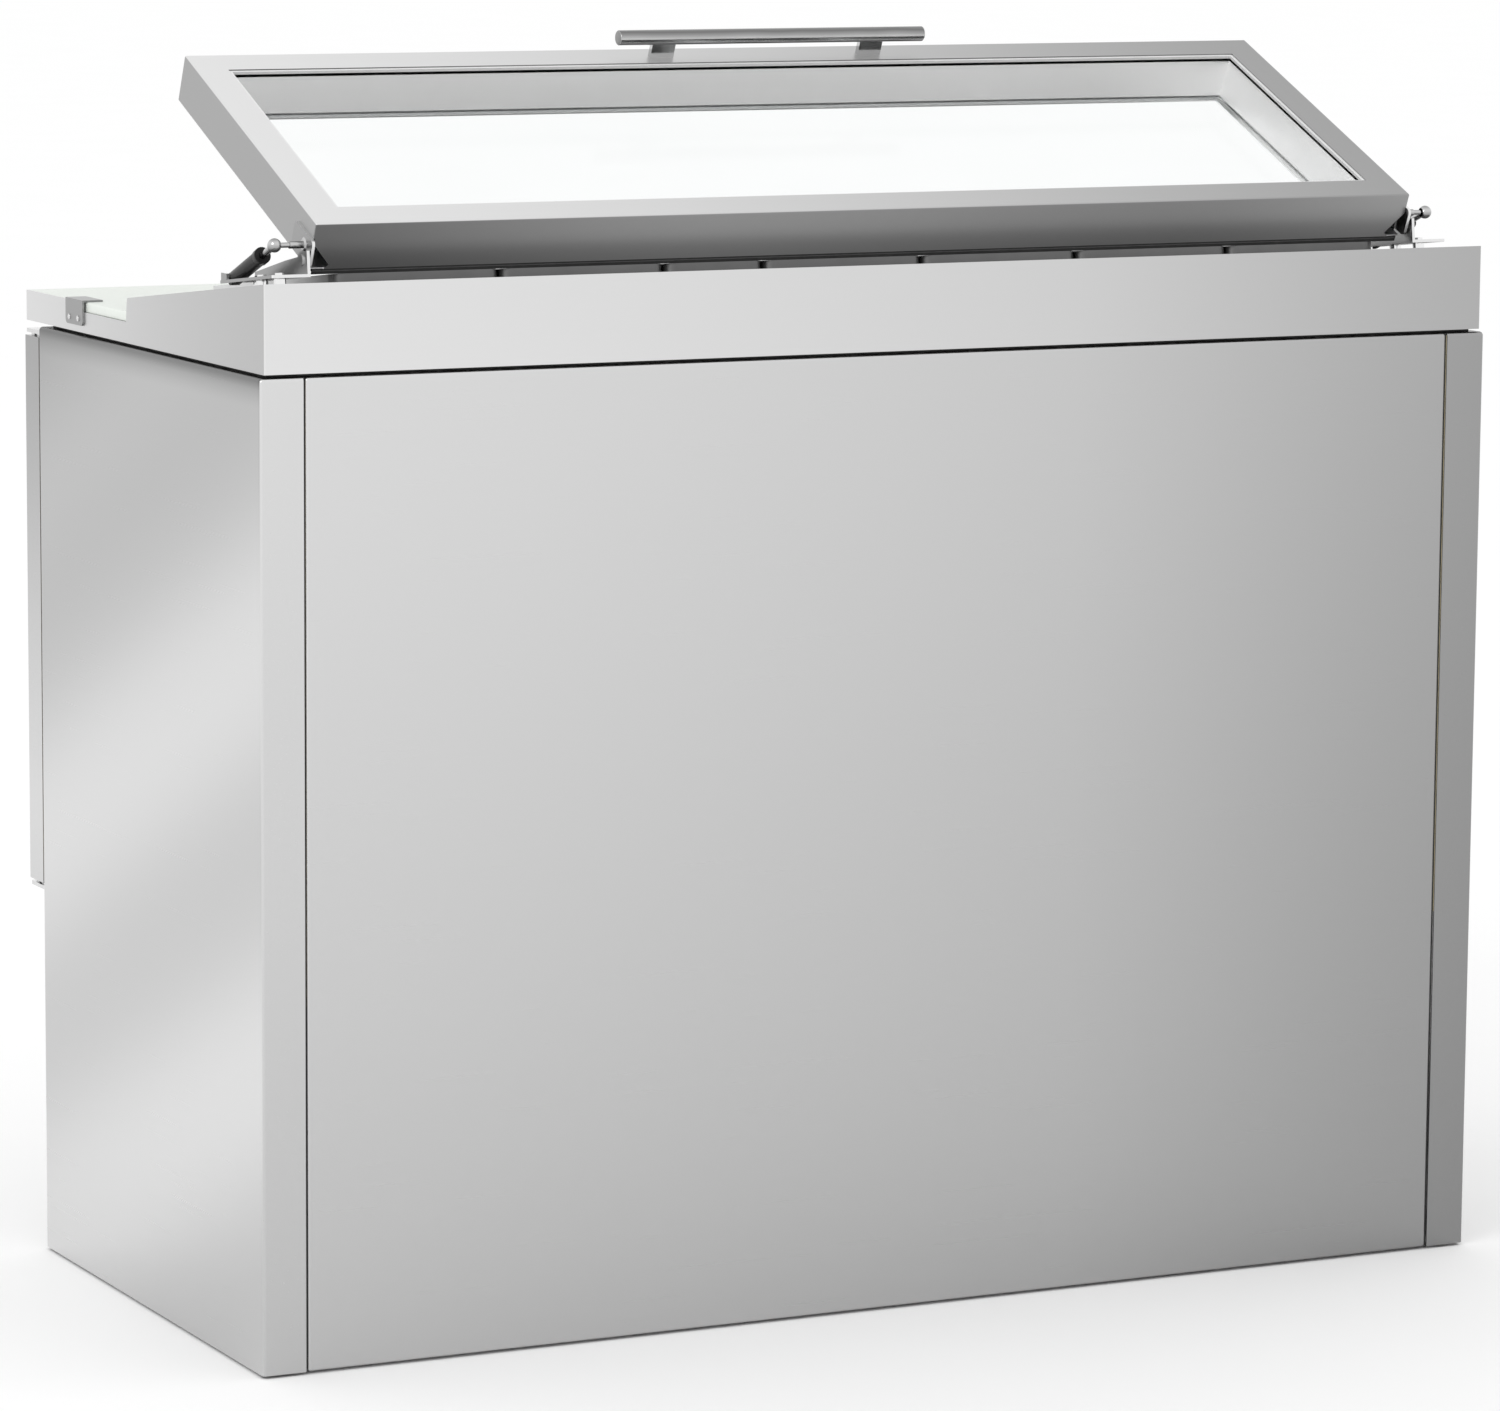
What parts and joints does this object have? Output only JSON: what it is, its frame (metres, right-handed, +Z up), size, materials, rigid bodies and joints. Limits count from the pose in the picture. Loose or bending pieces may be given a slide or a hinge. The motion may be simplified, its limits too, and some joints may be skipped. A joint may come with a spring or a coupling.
{
  "type": "refrigerated preparation counter",
  "caption": "Stainless steel refrigerated preparation counter with a sloping pan well, a hinged glass lid on gas struts, a cutting board and insulated doors below",
  "frame": {"origin": "on the floor, under the middle of the box that the object fills", "axes": "+Z up, +X along the counter to its right-hand end seen from the front, -Y towards the doors"},
  "size_m": [1.365, 0.655, 1.2766],
  "materials": {
    "panel_steel": "polished stainless sheet",
    "rim_steel": "satin stainless sheet",
    "lid_steel": "satin stainless sheet",
    "pan_steel": "drawn stainless sheet",
    "inner_steel": "plain stainless sheet",
    "galvanised": "galvanised sheet",
    "bright_chrome": "polished",
    "black_tube": "black gloss paint",
    "compressor_black": "black painted",
    "coil_aluminium": "finned",
    "foam": "rigid foam",
    "board_white": "matt, fine texture",
    "black_plastic": "matt",
    "grey_rubber": "matt",
    "clear_glass": "clear",
    "display_black": "glossy"
  },
  "bodies": {
    "cabinet": {"base_pan": "galvanised", "levelling_feet": "black_plastic", "side_panel_right": "panel_steel", "side_panel_left": "panel_steel", "back_panel": "panel_steel", "power_inlet": "black_plastic", "insulation": "foam", "cabinet_liner": "inner_steel", "front_rails": "panel_steel", "front_posts": "panel_steel", "top_rim": "rim_steel", "rim_seal": "grey_rubber", "worktop_core": "foam", "cutting_board": "board_white", "board_clips": "rim_steel", "clip_rivets": "rim_steel", "pans_wide": "pan_steel", "pan_narrow": "pan_steel", "pan_bars": "pan_steel", "well_liner": "inner_steel", "hinge_brackets": "rim_steel", "bracket_bolts": "bright_chrome", "door_pivots": "rim_steel", "shelves": "bright_chrome", "shelf_runners": "inner_steel", "evaporator_housing": "inner_steel", "evaporator_coil": "coil_aluminium", "compressor": "compressor_black", "condenser": "coil_aluminium", "condenser_shroud": "galvanised", "drip_tray": "galvanised", "front_grille": "panel_steel", "display_window": "display_black", "control_panel": "black_plastic"},
    "lid": {"lid_frame": "lid_steel", "lid_liner": "lid_steel", "lid_glass_inner": "clear_glass", "lid_glass_outer": "clear_glass", "lid_pane_seal": "grey_rubber", "lid_gasket": "grey_rubber", "lid_handle": "bright_chrome", "lid_arms": "lid_steel", "ball_studs": "bright_chrome"},
    "strut_tube_right": {"strut_tube_right": "black_tube"},
    "strut_tube_left": {"strut_tube_left": "black_tube"},
    "strut_rod_right": {"strut_rod_right": "bright_chrome"},
    "strut_rod_left": {"strut_rod_left": "bright_chrome"},
    "door_1": {"door_1_skin": "panel_steel", "door_1_core": "foam", "door_1_seal": "grey_rubber"},
    "door_2": {"door_2_skin": "panel_steel", "door_2_core": "foam", "door_2_seal": "grey_rubber"},
    "door_3": {"door_3_skin": "panel_steel", "door_3_core": "foam", "door_3_seal": "grey_rubber"},
    "condenser_fan": {"condenser_fan": "black_plastic"},
    "evaporator_fan": {"evaporator_fan": "black_plastic"},
    "rocker_switch": {"rocker_switch": "black_plastic"},
    "set_key": {"set_key": "black_plastic"}
  },
  "joints": [
    {"name": "lid_hinge", "type": "hinge", "parent": "cabinet", "child": "lid", "pos_m": [0, 0.29615, 1.07709], "axis": [1, 0, 0], "range_deg": [0, 29.5]},
    {"name": "strut_swing_right", "type": "hinge", "parent": "cabinet", "child": "strut_tube_right", "pos_m": [0.651, 0.18675, 1.05184], "axis": [1, 0, 0], "range_deg": [-1.7, 0]},
    {"name": "strut_travel_right", "type": "slide", "parent": "strut_tube_right", "child": "strut_rod_right", "axis": [0, 0.9325, 0.3611], "range_m": [-0.0077, 0]},
    {"name": "strut_swing_left", "type": "hinge", "parent": "cabinet", "child": "strut_tube_left", "pos_m": [-0.631, 0.18675, 1.05184], "axis": [1, 0, 0], "range_deg": [-1.7, 0]},
    {"name": "strut_travel_left", "type": "slide", "parent": "strut_tube_left", "child": "strut_rod_left", "axis": [0, 0.9325, 0.3611], "range_m": [-0.0077, 0]},
    {"name": "door_1_hinge", "type": "hinge", "parent": "cabinet", "child": "door_1", "pos_m": [-0.672, -0.3175, 0.6725], "axis": [0, 0, -1], "range_deg": [0, 90]},
    {"name": "door_2_hinge", "type": "hinge", "parent": "cabinet", "child": "door_2", "pos_m": [-0.217, -0.3175, 0.6725], "axis": [0, 0, -1], "range_deg": [0, 90]},
    {"name": "door_3_hinge", "type": "hinge", "parent": "cabinet", "child": "door_3", "pos_m": [0.672, -0.3175, 0.6725], "axis": [0, 0, 1], "range_deg": [0, 90]},
    {"name": "condenser_fan_spin", "type": "hinge", "parent": "cabinet", "child": "condenser_fan", "pos_m": [0.33, -0.183, 0.17425], "axis": [0, 1, 0], "continuous": true},
    {"name": "evaporator_fan_spin", "type": "hinge", "parent": "cabinet", "child": "evaporator_fan", "pos_m": [0, 0.2057, 0.77], "axis": [0, 1, 0], "continuous": true},
    {"name": "rocker_tilt", "type": "hinge", "parent": "cabinet", "child": "rocker_switch", "pos_m": [-0.4863, -0.275, 0.27], "axis": [1, 0, 0], "range_deg": [-7, 7]},
    {"name": "set_key_press", "type": "slide", "parent": "cabinet", "child": "set_key", "axis": [0, 1, 0], "range_m": [0, 0.0015], "stiffness_N_per_m": 400}
  ],
  "couplings": [
    {"joint": "strut_swing_right", "follows": "lid_hinge", "ratio": -0.056},
    {"joint": "strut_travel_right", "follows": "lid_hinge", "m_per_rad": -0.014738},
    {"joint": "strut_swing_left", "follows": "lid_hinge", "ratio": -0.056},
    {"joint": "strut_travel_left", "follows": "lid_hinge", "m_per_rad": -0.014738}
  ]
}
